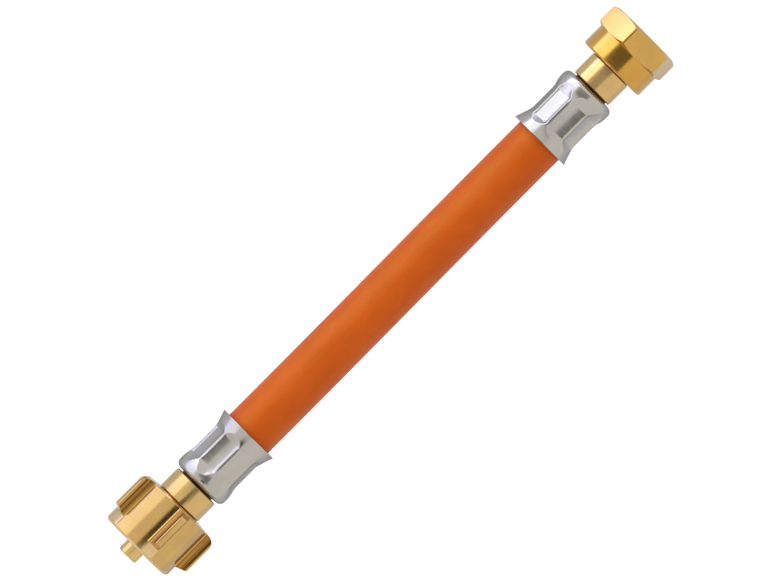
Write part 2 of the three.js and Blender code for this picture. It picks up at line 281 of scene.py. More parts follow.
rubber, rubber_shader, rubber_links = new_finish("orange_hose_rubber")
rubber_shader.inputs["Specular IOR Level"].default_value = 0.6
rubber_shader.inputs["Specular Tint"].default_value = (1.0, 0.98, 0.3, 1)
rubber_tones = [
    (0.3, (0.55, 0.064, 0.002)),
    (0.5, (0.59, 0.072, 0.0025)),
    (0.72, (0.63, 0.084, 0.004)),
]
mottle = streaks(rubber, along=90, across=160, detail=4)
shades(rubber, mottle, rubber_shader.inputs["Base Color"], rubber_tones)
dull_spots = streaks(rubber, along=350, across=700, detail=3, seed=4.0)
spread(rubber, dull_spots, rubber_shader.inputs["Roughness"], low=0.4, high=0.52)
long_lines = streaks(rubber, along=40, across=1100, detail=2, seed=8.0)
drawn_lines = relief(rubber, long_lines, depth=0.00004, strength=0.5)
fine_grain = streaks(rubber, along=2600, across=2600, detail=3, seed=12.0)
grain = relief(rubber, fine_grain, depth=0.00003, strength=0.6, under=drawn_lines)
rubber_links.new(grain.outputs["Normal"], rubber_shader.inputs["Normal"])
hose.data.materials.append(rubber)

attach(hose, "root")
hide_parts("hose")

# Nipples. Each is one piece of turned brass: barbed tail in the hose, collar and groove that hold the
# ferrule's lip, the stub that shows behind the nut, a neck for the nut to turn on, and a head that the
# nut pulls against its seat. The bottle end has a nose, the appliance end a sealing cone.
nipple_bore_radius = 2.25
bore_mouth = 0.3
tail_radius = 3.75
barb_radius = 4.1
barb_count = 3
barb_pitch = 4.6
tail_length = 19.5
edge_break = 0.3
collar_radius = 6.9
collar_from = -2.3
collar_to = -1.1
groove_radius = 6.0
lip_gap = 0.55
groove_reach = 0.1
nipple_edge = 0.08
edge_segments = 2
sharp_over = 30
sliver_share = 0.25
nipple_facets = 128
bottle_stub_radius = 7.8
bottle_stub_end = 7.87
bottle_neck_radius = 5.8
bottle_head_radius = 9.2
bottle_head_from = 11.85
bottle_head_to = 14.45
bottle_head_cone = 2.0
nose_radius = 3.3
nose_end = 30.05
nose_round = 0.6
nose_corner_steps = 4
appliance_stub_radius = 7.15
appliance_stub_end = 8.67
appliance_neck_radius = 5.4
appliance_head_radius = 7.05
appliance_head_from = 12.05
appliance_head_to = 13.85
appliance_cone_end = 16.85
appliance_cone_radius = 4.2


def nipple_profile(stub_radius, stub_end, neck_radius, head):
    """Distances outwards from the ferrule's lip, and radii: along the outside, then the bore's mouths."""
    profile = [(-tail_length, nipple_bore_radius), (-tail_length, tail_radius - edge_break)]
    for barb in range(barb_count):
        crest = -tail_length + (barb + 1) * barb_pitch
        profile += [(crest, barb_radius), (crest + edge_break, tail_radius)]
    profile += [
        (collar_from, tail_radius),
        (collar_from, collar_radius),
        (collar_to, collar_radius),
        (collar_to, groove_radius),
        (lip_gap, groove_radius),
        (lip_gap, stub_radius - edge_break),
        (lip_gap + edge_break, stub_radius),
        (stub_end - edge_break, stub_radius),
        (stub_end, stub_radius - edge_break),
        (stub_end, neck_radius),
        *head,
    ]
    front = head[-1][0]
    return profile + [(front, nipple_bore_radius + bore_mouth), (front - bore_mouth, nipple_bore_radius)]


def at_bottle_end(profile):
    return [(bottle_lip - distance, bottle_axis, radius) for distance, radius in profile]


def at_appliance_end(profile):
    return [(appliance_lip + distance, appliance_axis, radius) for distance, radius in profile]


def machined(piece, edge, degrees=sharp_over):
    """Breaks every edge sharper than so many degrees with a small round, clears away the slivers that
    the rounds leave at corners, and keeps the faces between them true."""
    bevel = piece.modifiers.new("broken_edges", "BEVEL")
    bevel.width = edge * MM
    bevel.segments = edge_segments
    bevel.limit_method = "ANGLE"
    bevel.angle_limit = math.radians(degrees)
    bpy.ops.object.select_all(action="DESELECT")
    piece.select_set(True)
    bpy.context.view_layer.objects.active = piece
    bpy.ops.object.modifier_apply(modifier=bevel.name)
    edit_whole()
    sliver = sliver_share * edge * MM
    bpy.ops.mesh.remove_doubles(threshold=sliver)
    bpy.ops.mesh.dissolve_degenerate(threshold=sliver)
    bpy.ops.object.mode_set(mode="OBJECT")
    smooth_under(piece, degrees)
    weighted = piece.modifiers.new("true_faces", "WEIGHTED_NORMAL")
    weighted.keep_sharp = True
    bpy.ops.object.modifier_apply(modifier=weighted.name)


nose_corner = [
    (nose_end - nose_round * (1 - math.sin(turn)), nose_radius - nose_round * (1 - math.cos(turn)))
    for turn in [math.pi / 2 * step / nose_corner_steps for step in range(nose_corner_steps + 1)]
]
bottle_head = [
    (bottle_head_from, bottle_neck_radius),
    (bottle_head_from, bottle_head_radius),
    (bottle_head_to, bottle_head_radius),
    (bottle_head_to + bottle_head_cone, (bottle_head_radius + nose_radius) / 2),
    (bottle_head_to + bottle_head_cone, nose_radius),
    *nose_corner,
]
appliance_head = [
    (appliance_head_from, appliance_neck_radius),
    (appliance_head_from, appliance_head_radius),
    (appliance_head_to, appliance_head_radius),
    (appliance_cone_end, appliance_cone_radius),
]
bottle_nipple = turned_piece(
    "turned_bottle_nipple",
    nipple_facets,
    at_bottle_end(nipple_profile(bottle_stub_radius, bottle_stub_end, bottle_neck_radius, bottle_head)),
)
machined(bottle_nipple, nipple_edge)
appliance_nipple = turned_piece(
    "turned_appliance_nipple",
    nipple_facets,
    at_appliance_end(
        nipple_profile(appliance_stub_radius, appliance_stub_end, appliance_neck_radius, appliance_head)
    ),
)
machined(appliance_nipple, nipple_edge)

# How many lines a metre a turning tool or a drawing die leaves along the hose and across it, and where
# in a pattern a brass has each of its three tones.
turned_lines = (5200, 60)
drawn_lines_along = (45, 3600)
tone_places = (0.3, 0.52, 0.72)


def brass_finish(name, tones, lines, roughness, film, lined=False):
    """Brass under a clear film, its film given by how strongly it mirrors. The tool's or the die's fine
    lines run across the way that changes fast.
    Where it is lined, the same lines also run through the colour, and there its darker tones are painted
    shade."""
    finish, shader, links = new_finish(name)
    shader.inputs["Metallic"].default_value = 1
    shader.inputs["Specular Tint"].default_value = (0.8, 0.72, 0.6, 1)
    shader.inputs["Coat Weight"].default_value = 1
    shader.inputs["Coat Roughness"].default_value = roughness[0]
    shader.inputs["Coat IOR"].default_value = (1 + math.sqrt(film)) / (1 - math.sqrt(film))
    fine = streaks(finish, *lines, detail=3, seed=6.0)
    cloud = fine if lined else streaks(finish, along=130, across=130, detail=4, seed=3.0)
    stops = list(zip(tone_places, tones))
    shades(finish, cloud, shader.inputs["Base Color"], stops)
    spread(finish, fine, shader.inputs["Roughness"], *roughness)
    waves = streaks(finish, along=260, across=260, detail=2, seed=9.0)
    waviness = relief(finish, waves, depth=0.00002, strength=0.25)
    cut_lines = relief(finish, fine, depth=0.000003, strength=0.4, under=waviness)
    links.new(cut_lines.outputs["Normal"], shader.inputs["Normal"])
    links.new(cut_lines.outputs["Normal"], shader.inputs["Coat Normal"])
    return finish


pale_turned_brass = brass_finish(
    "turned_nipple_brass",
    tones=[(0.50, 0.27, 0.002), (0.55, 0.31, 0.006), (0.60, 0.355, 0.03)],
    lines=turned_lines,
    roughness=(0.16, 0.22),
    film=0.175,
)
# Painted shade: a near-black, dull brass for the nipple's groove by the ferrule's lip, so that the narrow
# gap between lip and stub reads dark.
groove_brass_painted_shade = brass_finish(
    "painted_shade_groove_brass",
    tones=[(0.05, 0.028, 0.008), (0.07, 0.04, 0.012), (0.10, 0.06, 0.02)],
    lines=turned_lines,
    roughness=(0.45, 0.6),
    film=0.01,
)
for nipple, node in ((bottle_nipple, "bottle_nipple"), (appliance_nipple, "appliance_nipple")):
    nipple.data.materials.append(pale_turned_brass)
    nipple.data.materials.append(groove_brass_painted_shade)
    axis = axis_of(node)
    for face in nipple.data.polygons:
        x, y, z = face.center / MM
        outside = max(bottle_lip - x, x - appliance_lip)
        # Faces in the groove by the ferrule's lip take the painted shade.
        by_the_lip = collar_from < outside < lip_gap + groove_reach
        in_groove = by_the_lip and math.hypot(y, z - axis) < collar_radius
        face.material_index = 1 if in_groove else 0
    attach(nipple, "root")
    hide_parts(node)

# Ferrules. A plated steel cup is pressed from sheet, its lip rolled in over the nipple's groove and its
# mouth spread like a trumpet. Eight jaws have squeezed it on the hose. Each leaves a long mark with a
# straight floor, rounded off towards the lip, and a narrow ridge stands between every two marks.
ferrule_wall = 0.8
mouth_edge_share = 0.6
thinning_for = 3.0
rim_round = 0.14
rim_over = 60
smooth_cup_under = 70
shoulder_radius = 9.33
waist_radius = 8.66
mouth_radius = 10.33
lip_hole_radius = 6.3
lip_flat_radius = 7.4
shoulder_seat = 2.6
waist_from = 8.4
waist_to = 15.2
mouth_flare = 1.45
jaw_count = 8
mark_floor_radius = 7.78
mark_hollow = 0.15
mark_from = 6.3
mark_to = 16.4
ramp_slope = 0.468
ramp_round = 1.4
ramp_round_from = 2.0
ramp_blend = 0.35
outlet_slope = 0.75
mark_half_width = math.radians(16.0)
ramp_spread = math.radians(3.4)
ramp_spread_for = 0.9
mark_wall_slope = 0.42
mark_softness = 0.035
bottle_crimp_turn = -30.0
appliance_crimp_turn = -6.3
ferrule_facets = 320
ferrule_step = 0.2
corner_steps = 8


def gentle(value, low, high):
    share = min(1, max(0, (value - low) / (high - low)))
    return share * share * (3 - 2 * share)


def ferrule_radius(distance):
    bulge = (shoulder_radius - waist_radius) * (1 - gentle(distance, shoulder_seat, waist_from))
    spreading = max(0, distance - waist_to) / (ferrule_length - waist_to)
    return waist_radius + bulge + (mouth_radius - waist_radius) * spreading**mouth_flare


def jaw_radius(distance, off_centre):
    """The jaw's face: flat and a little hollow across, with a ramp towards the lip that is rounded off
    at its sides, and a short outlet towards the mouth."""
    half_width = mark_half_width + ramp_spread * gentle(mark_from - distance, 0, ramp_spread_for)
    across = min(1, abs(off_centre) / half_width)
    beyond = max(0, math.tan(abs(off_centre)) - math.tan(half_width)) * mark_floor_radius
    floor = mark_floor_radius + mark_hollow * across * across + mark_wall_slope * beyond
    rounding = ramp_round * across**4 * gentle(mark_from - distance, 0, ramp_round_from)
    ramp = floor + ramp_slope * (mark_from - distance + rounding)
    outlet = floor + outlet_slope * (distance - mark_to)
    on_ramp = 1 - gentle(distance, mark_from - ramp_blend, mark_from + ramp_blend)
    return max(floor + (ramp - floor) * on_ramp, outlet) / math.cos(off_centre)


def pressed_radius(distance, angle):
    """The smaller of the cup's own radius and the jaw's, run softly into each other."""
    cup = ferrule_radius(distance)
    pitch = 2 * math.pi / jaw_count
    off_centre = (angle + pitch / 2) % pitch - pitch / 2
    jaw = jaw_radius(distance, off_centre)
    gap = cup - jaw
    if gap < -mark_softness:
        return cup
    if gap > mark_softness:
        return jaw
    return cup - (gap + mark_softness) ** 2 / (4 * mark_softness)


def pressed_ferrule(name, lip, outwards, axis, turn):
    corner = shoulder_radius - lip_flat_radius
    stations = [(0.0, lip_hole_radius), (0.0, (lip_hole_radius + lip_flat_radius) / 2)]
    for step in range(corner_steps + 1):
        angle = step / corner_steps * math.pi / 2
        stations.append(
            (corner * (1 - math.cos(angle)), lip_flat_radius + corner * math.sin(angle))
        )
    rings = round((ferrule_length - corner) / ferrule_step)
    for ring in range(1, rings + 1):
        distance = corner + (ferrule_length - corner) * ring / rings
        stations.append((distance, ferrule_radius(distance)))
    placed = [(lip - outwards * distance, axis, radius) for distance, radius in stations]
    cup = start_ring(name, ferrule_facets, *placed[0])
    edit_whole()
    pull_rings(placed)
    bpy.ops.mesh.select_all(action="SELECT")
    bpy.ops.mesh.normals_make_consistent(inside=False)
    bpy.ops.object.mode_set(mode="OBJECT")

    wall = cup.vertex_groups.new(name="wall")
    for vertex in cup.data.vertices:
        distance = (lip - vertex.co.x / MM) * outwards
        y, z = vertex.co.y / MM, vertex.co.z / MM - axis
        radius = math.hypot(y, z)
        if distance > corner:
            angle = math.atan2(-y, z) - math.radians(turn)
            pressed = pressed_radius(distance, angle)
            vertex.co.y = y * pressed / radius * MM
            vertex.co.z = (axis + z * pressed / radius) * MM
        thinning = gentle(distance, ferrule_length - thinning_for, ferrule_length)
        wall.add([vertex.index], 1 - (1 - mouth_edge_share) * thinning, "REPLACE")

    shell = cup.modifiers.new("sheet_steel", "SOLIDIFY")
    shell.thickness = ferrule_wall * MM
    shell.offset = -1
    shell.vertex_group = wall.name
    bpy.ops.object.modifier_apply(modifier=shell.name)
    mouth = lip - outwards * ferrule_length
    for vertex in cup.data.vertices:
        if (vertex.co.x / MM - mouth) * outwards < 0:
            vertex.co.x = mouth * MM
    rims = cup.modifiers.new("rims", "BEVEL")
    rims.width = rim_round * MM
    rims.segments = edge_segments
    rims.limit_method = "ANGLE"
    rims.angle_limit = math.radians(rim_over)
    bpy.ops.object.modifier_apply(modifier=rims.name)
    smooth_under(cup, smooth_cup_under)
    return cup


bottle_ferrule = pressed_ferrule("crimped_bottle_ferrule", bottle_lip, -1, bottle_axis, bottle_crimp_turn)
appliance_ferrule = pressed_ferrule(
    "crimped_appliance_ferrule", appliance_lip, 1, appliance_axis, appliance_crimp_turn
)

plated, plated_shader, plated_links = new_finish("plated_ferrule_steel")
plated_shader.inputs["Metallic"].default_value = 1
plated_shader.inputs["Specular Tint"].default_value = (0.6, 0.6, 0.6, 1)
plated_tones = [
    (0.3, (0.425, 0.408, 0.412)),
    (0.5, (0.46, 0.442, 0.446)),
    (0.72, (0.495, 0.476, 0.48)),
]
plated_cloud = streaks(plated, along=110, across=110, detail=4, seed=2.0)
shades(plated, plated_cloud, plated_shader.inputs["Base Color"], plated_tones)
rolled_lines = streaks(plated, along=900, across=60, detail=3, seed=5.0)
spread(plated, rolled_lines, plated_shader.inputs["Roughness"], low=0.16, high=0.23)
pressed_skin = streaks(plated, along=420, across=420, detail=3, seed=7.0)
dulled = relief(plated, pressed_skin, depth=0.00002, strength=0.4)
rolled = relief(plated, rolled_lines, depth=0.000004, strength=0.4, under=dulled)
plated_links.new(rolled.outputs["Normal"], plated_shader.inputs["Normal"])
for cup, node in ((bottle_ferrule, "bottle_ferrule"), (appliance_ferrule, "appliance_ferrule")):
    cup.data.materials.append(plated)
    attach(cup, "root")
    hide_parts(node)

# Winged union nut. It is cut from a drawn brass bar of five wings, so fine lines run along its body and
# wings. Its front is turned down, which leaves a bright stub before each wing, its back is turned to a
# shallow dome, and it is bored and threaded for a left-hand bottle valve. It turns on the bottle nipple.
winged_front = -106.05
winged_back = -87.75
winged_body_radius = 12.45
wing_stub_radius = 12.6
wing_stub_front = 0.85
wing_stub_length = 4.1
winged_chamfer = 0.7
winged_hole_radius = 6.1
winged_rear_wall = 3.6
winged_thread_radius = 10.9
winged_thread_minor = 9.74
winged_thread_pitch = 1.814
wing_count = 5
wing_tip_radius = 15.95
wing_half_root = math.radians(10.8)
wing_tip_width = 2.2
wing_neck_radius = 14.3
wing_edge_round = 0.5
wing_front_slant = 1.35
wing_back_round = 2.4
back_fall = 0.95 / 8.15
back_flat_radius = 7.8
winged_facets = 200
back_corner = 0.2
back_rings = (9.5, 11.0)
body_steps = 8
winged_edge = 0.18
winged_edge_over = 32
countersink_width = 0.25
countersink_depth = 0.5
winged_thread_from = 1.4
winged_thread_to = 9.0
winged_wall_within = 11.4
looks_along_hose = 0.8
sector_margin = 0.1
close_by = 0.01
foot_margin = 0.1
stub_margin = 0.05


def winged_back_at(radius):
    return winged_back - max(0, radius - back_flat_radius) * back_fall


def wing_width_at(radius, root_width):
    """A hollow flank down to the neck, straight on to the tip, and a round edge there."""
    if radius >= wing_tip_radius - wing_edge_round:
        into = (radius - wing_tip_radius + wing_edge_round) / wing_edge_round
        return wing_tip_width - 2 * wing_edge_round * (1 - math.sqrt(max(0, 1 - into * into)))
    share = min(1, max(0, (radius - wing_stub_radius) / (wing_neck_radius - wing_stub_radius)))
    return wing_tip_width + (root_width - wing_tip_width) * (1 - share) ** 2


def wing_ends_at(radius):
    rise = (radius - wing_stub_radius) / (wing_tip_radius - wing_stub_radius)
    front = winged_front + wing_stub_length + wing_front_slant * max(0, rise)
    into = max(0, radius - wing_tip_radius + wing_back_round) / wing_back_round
    rounding = wing_back_round * (1 - math.sqrt(max(0, 1 - into * into)))
    return front, winged_back_at(radius) - rounding


def pick_faces(mesh_object, wanted):
    """In edit mode: selects the faces whose middle, given in millimetres, is wanted."""
    bpy.ops.mesh.select_all(action="DESELECT")
    bpy.ops.object.mode_set(mode="OBJECT")
    for face in mesh_object.data.polygons:
        x, y, z = face.center / MM
        face.select = wanted(x, y, z)
    bpy.ops.object.mode_set(mode="EDIT")
    bpy.ops.mesh.select_mode(type="FACE")


def off_top(y, z):
    return abs(math.atan2(y, z - bottle_axis))


winged_nut = start_ring(
    "winged_bottle_nut", winged_facets, winged_back, bottle_axis, winged_hole_radius
)
edit_whole()
bpy.ops.mesh.select_all(action="DESELECT")
bpy.ops.object.mode_set(mode="OBJECT")
sector = math.pi / wing_count + math.radians(sector_margin)
for vertex in winged_nut.data.vertices:
    vertex.select = off_top(vertex.co.y / MM, vertex.co.z / MM) > sector
bpy.ops.object.mode_set(mode="EDIT")
bpy.ops.mesh.delete(type="VERT")
bpy.ops.mesh.select_all(action="SELECT")
body_corner = winged_body_radius - back_corner
body_from = winged_back_at(winged_body_radius) - back_corner
body_to = winged_front + wing_stub_length
body_stations = [
    (body_from + (body_to - body_from) * step / body_steps, winged_body_radius)
    for step in range(body_steps + 1)
]
countersink = winged_thread_radius + countersink_width
socket_floor = winged_back - winged_rear_wall
winged_profile = [
    (winged_back, winged_hole_radius),
    (winged_back, back_flat_radius),
    *[(winged_back_at(radius), radius) for radius in back_rings],
    (winged_back_at(body_corner), body_corner),
    *body_stations,
    (body_to - wing_stub_length / 2, winged_body_radius),
    (winged_front + wing_stub_front, winged_body_radius),
    (winged_front + winged_chamfer, winged_body_radius),
    (winged_front, winged_body_radius - winged_chamfer),
    (winged_front, countersink),
    (winged_front + countersink_depth, winged_thread_radius),
    (socket_floor, winged_thread_radius),
    (socket_floor, winged_hole_radius),
    (winged_back, winged_hole_radius),
]
pull_rings([(x, bottle_axis, radius) for x, radius in winged_profile])

# The back's corner is left sharp where a wing will stand, so that the wing's back runs on from the dome.
bpy.ops.mesh.select_all(action="DESELECT")
bpy.ops.object.mode_set(mode="OBJECT")
for vertex in winged_nut.data.vertices:
    x, y, z = vertex.co / MM
    at_corner = abs(x - body_from) < close_by and math.hypot(y, z - bottle_axis) > body_corner + foot_margin
    vertex.select = at_corner and off_top(y, z) < wing_half_root + close_by
bpy.ops.object.mode_set(mode="EDIT")
bpy.ops.transform.translate(value=(back_corner * MM, 0, 0))


def over_wing(x, y, z, from_x, to_x):
    outside = math.hypot(y, z - bottle_axis) > winged_body_radius - foot_margin
    return outside and from_x < x < to_x and off_top(y, z) < wing_half_root


# The stub before the wing and the wing's foot stand up together, then the wing goes on alone.
pick_faces(
    winged_nut,
    lambda x, y, z: over_wing(x, y, z, winged_front + wing_stub_front, winged_back),
)
bpy.ops.mesh.extrude_region_move(
    TRANSFORM_OT_translate={"value": (0, 0, (wing_stub_radius - winged_body_radius) * MM)}
)
pick_faces(winged_nut, lambda x, y, z: over_wing(x, y, z, body_to, winged_back))
root_width = 2 * wing_stub_radius * math.sin(wing_half_root)
wing_radii = [12.6, 12.78, 12.98, 13.22, 13.5, 13.85, 14.3, 14.75, 15.15, 15.45, 15.66, 15.83, 15.92, 15.95]
flattening = 0.72
for radius, next_radius in zip(wing_radii, wing_radii[1:]):
    front, back = wing_ends_at(radius)
    next_front, next_back = wing_ends_at(next_radius)
    shift = (next_front + next_back - front - back) / 2
    bpy.ops.mesh.extrude_region_move(
        TRANSFORM_OT_translate={"value": (shift * MM, 0, (next_radius - radius) * MM)}
    )
    narrower = wing_width_at(next_radius, root_width) / wing_width_at(radius, root_width)
    bpy.ops.transform.resize(
        value=((next_back - next_front) / (back - front), narrower, flattening),
        center_override=((next_front + next_back) / 2 * MM, 0, (bottle_axis + next_radius) * MM),
    )

# Four more of this sector are spun round the axis and joined to it.
bpy.ops.mesh.select_all(action="SELECT")
bpy.ops.mesh.spin(
    steps=wing_count - 1,
    dupli=True,
    angle=2 * math.pi * (wing_count - 1) / wing_count,
    center=(0, 0, bottle_axis * MM),
    axis=(1, 0, 0),
)
close_mesh(winged_nut)
bpy.ops.object.mode_set(mode="OBJECT")
machined(winged_nut, winged_edge, winged_edge_over)


# The tooth's half widths are shares of the pitch. It is rooted in the wall behind it, cut away by the
# countersink at the mouth, and runs out at the bottom.
tooth_root = 0.47
tooth_crest = 0.1
tooth_rooted = 0.15
tooth_cut = 0.2
run_out_slope = 1.2
thread_steps = 72
smooth_thread_under = 30


def thread_ridge(name, axis, mouth, depth_from, depth_to, inwards, major, minor, pitch):
    """The ridge of a left-hand thread: a tooth screwed round the axis."""
    turns = math.ceil(abs(depth_to - depth_from) / pitch)
    bpy.ops.object.select_all(action="DESELECT")
    start = mouth + inwards * depth_from
    bpy.ops.mesh.primitive_plane_add(size=2, location=(start * MM, 0, axis * MM))
    ridge = bpy.context.object
    ridge.name = name
    root = major + tooth_rooted
    tooth = [(-tooth_root, root), (tooth_root, root), (-tooth_crest, minor), (tooth_crest, minor)]
    for vertex, (share, radius) in zip(ridge.data.vertices, tooth):
        vertex.co = (share * pitch * MM, 0, radius * MM)
    winding = ridge.modifiers.new("winding", "SCREW")
    winding.axis = "X"
    winding.angle = -2 * math.pi * inwards
    winding.screw_offset = pitch * MM * inwards
    winding.iterations = turns
    winding.steps = thread_steps
    winding.render_steps = thread_steps
    winding.use_merge_vertices = True
    bpy.ops.object.modifier_apply(modifier=winding.name)
    bpy.ops.object.transform_apply(location=True, rotation=True, scale=True)
    for vertex in ridge.data.vertices:
        x, y, z = vertex.co.x / MM, vertex.co.y / MM, vertex.co.z / MM - axis
        radius = math.hypot(y, z)
        deep = (x - mouth) * inwards
        run_out = (deep - depth_to + pitch) * run_out_slope
        allowed = max(minor, major + tooth_cut - deep, minor + run_out)
        if radius < allowed:
            keep = min(allowed, root) / radius
            vertex.co.y = y * keep * MM
            vertex.co.z = (axis + z * keep) * MM
    edit_whole()
    bpy.ops.mesh.remove_doubles(threshold=weld_within * MM)
    bpy.ops.mesh.fill_holes(sides=4)
    close_mesh(ridge)
    bpy.ops.object.mode_set(mode="OBJECT")
    smooth_under(ridge, smooth_thread_under)
    return ridge


winged_thread = thread_ridge(
    "bottle_nut_thread",
    bottle_axis,
    winged_front,
    winged_thread_from,
    winged_thread_to,
    1,
    winged_thread_radius,
    winged_thread_minor,
    winged_thread_pitch,
)

drawn_brass = brass_finish(
    "drawn_body_brass",
    tones=[(0.46, 0.235, 0.001), (0.51, 0.272, 0.001), (0.56, 0.315, 0.012)],
    lines=drawn_lines_along,
    roughness=(0.15, 0.21),
    film=0.14,
)
bright_turned_brass = brass_finish(
    "turned_nut_brass",
    tones=[(0.57, 0.33, 0.08), (0.63, 0.38, 0.12), (0.70, 0.45, 0.17)],
    lines=turned_lines,
    roughness=(0.18, 0.26),
    film=0.17,
)
# The wings' flanks get far darker brass, streaked along the die's lines: painted shade between the wings.
flank_brass_painted_shade = brass_finish(
    "drawn_wing_brass",
    tones=[(0.14, 0.045, 0.002), (0.34, 0.15, 0.008), (0.56, 0.30, 0.03)],
    lines=drawn_lines_along,
    roughness=(0.16, 0.26),
    film=0.03,
    lined=True,
)
for finish in (drawn_brass, bright_turned_brass, flank_brass_painted_shade):
    winged_nut.data.materials.append(finish)
for face in winged_nut.data.polygons:
    x, y, z = face.center / MM
    radius = math.hypot(y, z - bottle_axis)
    on_stub = x < body_to and radius > winged_body_radius + stub_margin
    on_ends = x < winged_front + winged_chamfer or abs(face.normal.x) > looks_along_hose
    # Faces on a wing's flank, between its foot and its tip, take the brass of painted shade.
    on_flank = wing_stub_radius + foot_margin < radius < wing_tip_radius - wing_edge_round
    if on_stub or on_ends or radius < winged_wall_within:
        face.material_index = 1
    else:
        face.material_index = 2 if on_flank else 0
winged_thread.data.materials.append(bright_turned_brass)
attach(winged_nut, "bottle_nut")
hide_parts("winged_union_nut")
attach(winged_thread, "bottle_nut")

# Hexagon union nut. It is cut from drawn hexagon bar: the back half is turned round for a collar, the
# corners of the hexagon are turned off at both ends, and it is bored and threaded left-handed for the
# appliance. It turns on the appliance nipple.
hex_front = 109.85
hex_back = 95.05
hex_across_flats = 23.0
hex_from = 102.25
hex_chamfer = 1.1
hex_face_radius = 11.1
hex_collar_radius = 11.4
hex_collar_chamfer = 0.5
hex_hole_radius = 5.7
hex_rear_wall = 3.0
hex_thread_radius = 8.33
hex_thread_minor = 7.47
hex_thread_pitch = 1.337
hex_facets = 192
hex_edge_round = 0.55
hex_edge_segments = 6
hex_edge = 0.2
hex_edge_over = 20
hex_thread_from = 1.1
hex_thread_to = 8.6
hex_wall_within = 10.0
hex_chamfer_share = 0.25
faces_outwards = 0.05

hex_corner = hex_across_flats / 2 / math.cos(math.pi / 6)
hex_slope = hex_chamfer / (hex_corner - hex_face_radius)
hex_beyond = hex_corner + 1
hex_socket = hex_back + hex_rear_wall
collar_edge = hex_collar_radius - hex_collar_chamfer
hex_profile = [
    (hex_back, hex_hole_radius),
    (hex_back, collar_edge),
    (hex_back + hex_collar_chamfer, hex_collar_radius),
    (hex_from, hex_collar_radius),
    (hex_from + (hex_beyond - hex_collar_radius) * hex_slope, hex_beyond),
    (hex_front - (hex_beyond - hex_face_radius) * hex_slope, hex_beyond),
    (hex_front, hex_face_radius),
    (hex_front, hex_thread_radius + countersink_width),
    (hex_front - countersink_depth, hex_thread_radius),
    (hex_socket, hex_thread_radius),
    (hex_socket, hex_hole_radius),
]
hex_nut = turned_piece(
    "hexagon_appliance_nut", hex_facets, [(x, appliance_axis, radius) for x, radius in hex_profile]
)
bpy.ops.object.select_all(action="DESELECT")
bpy.ops.mesh.primitive_cylinder_add(
    vertices=6,
    radius=hex_corner * MM,
    depth=2 * (hex_front - hex_back) * MM,
    location=(hex_front * MM, 0, appliance_axis * MM),
    rotation=(0, math.pi / 2, 0),
)
hexagon_bar = bpy.context.object
bpy.ops.object.transform_apply(location=True, rotation=True, scale=True)
drawn_edges = hexagon_bar.modifiers.new("drawn_edges", "BEVEL")
drawn_edges.width = hex_edge_round * MM
drawn_edges.segments = hex_edge_segments
drawn_edges.limit_method = "ANGLE"
drawn_edges.angle_limit = math.radians(sharp_over)
bpy.ops.object.modifier_apply(modifier=drawn_edges.name)
milled = hex_nut.modifiers.new("hexagon", "BOOLEAN")
milled.operation = "INTERSECT"
milled.solver = "EXACT"
milled.object = hexagon_bar
bpy.ops.object.select_all(action="DESELECT")
hex_nut.select_set(True)
bpy.context.view_layer.objects.active = hex_nut
bpy.ops.object.modifier_apply(modifier=milled.name)
bpy.data.objects.remove(hexagon_bar)
machined(hex_nut, hex_edge, hex_edge_over)

hex_thread = thread_ridge(
    "appliance_nut_thread",
    appliance_axis,
    hex_front,
    hex_thread_from,
    hex_thread_to,
    -1,
    hex_thread_radius,
    hex_thread_minor,
    hex_thread_pitch,
)
golden_bar_brass = brass_finish(
    "drawn_hexagon_brass",
    tones=[(0.51, 0.255, 0.001), (0.55, 0.287, 0.001), (0.60, 0.325, 0.008)],
    lines=drawn_lines_along,
    roughness=(0.18, 0.26),
    film=0.105,
)
golden_turned_brass = brass_finish(
    "turned_collar_brass",
    tones=[(0.52, 0.25, 0.001), (0.56, 0.285, 0.001), (0.61, 0.325, 0.008)],
    lines=turned_lines,
    roughness=(0.15, 0.2),
    film=0.07,
)
hex_nut.data.materials.append(golden_bar_brass)
hex_nut.data.materials.append(golden_turned_brass)
for face in hex_nut.data.polygons:
    x, y, z = face.center / MM
    outside = math.hypot(y, z - appliance_axis) > hex_wall_within
    on_hexagon = x > hex_from + hex_chamfer * hex_chamfer_share
    flat = abs(face.normal.x) < faces_outwards and outside and on_hexagon
    face.material_index = 0 if flat else 1
hex_thread.data.materials.append(golden_turned_brass)
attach(hex_nut, "appliance_nut")
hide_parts("hex_union_nut")
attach(hex_thread, "appliance_nut")

# The hose is held at both ends by its fittings and lies loose between them. The loop below only steps along
# it from one cut end to the other.
for step in range(path_steps + 1):
    x = hose_start + (hose_finish - hose_start) * step / path_steps

# Floor and light. White table and white room, one large soft lamp low on the side of +Y and a weaker one on
# the other side.
# Bare metal also shows painted light that nothing else sees: an upright glowing panel on the side of +Y as
# a painted highlight, a painted reflection of the lamp in the table, and small dark cards close over the
# hose that paint the dark reflected lines along it.
floor_size = 8.0
floor_gap = 0.05
half_run = 0.1
floor_white = 0.5
floor_lift = 0.78
floor_in_metal = 0.42
lamp_in_table_color = (0.7, 0.7, 1.0)
lamp_in_table_at_bottle = 1.6
lamp_in_table_at_appliance = 2.9
lamp_in_table_from = 0.045
lamp_in_table_to = 0.07
room_white = 1.0
room_level = 0.55
room_in_metal = (1.0, 0.97, 0.85)
panel_color = (1.0, 1.04, 1.1)
panel_over_bottle_end = 1.55
panel_over_appliance_end = 2.0
panel_place = (0, 1.2, 0.395)
panel_size = (2.4, 0.79)
large_lamp_color = (0.98, 1.25, 1.05)


def end_to_end(finish, sides, at_bottle, at_appliance):
    """A number that runs from the bottle end's to the appliance end's along the hose."""
    run = finish.node_tree.nodes.new("ShaderNodeMapRange")
    run.inputs["From Min"].default_value = -half_run
    run.inputs["From Max"].default_value = half_run
    run.inputs["To Min"].default_value = at_bottle
    run.inputs["To Max"].default_value = at_appliance
    finish.node_tree.links.new(sides.outputs["X"], run.inputs["Value"])
    return run.outputs["Result"]


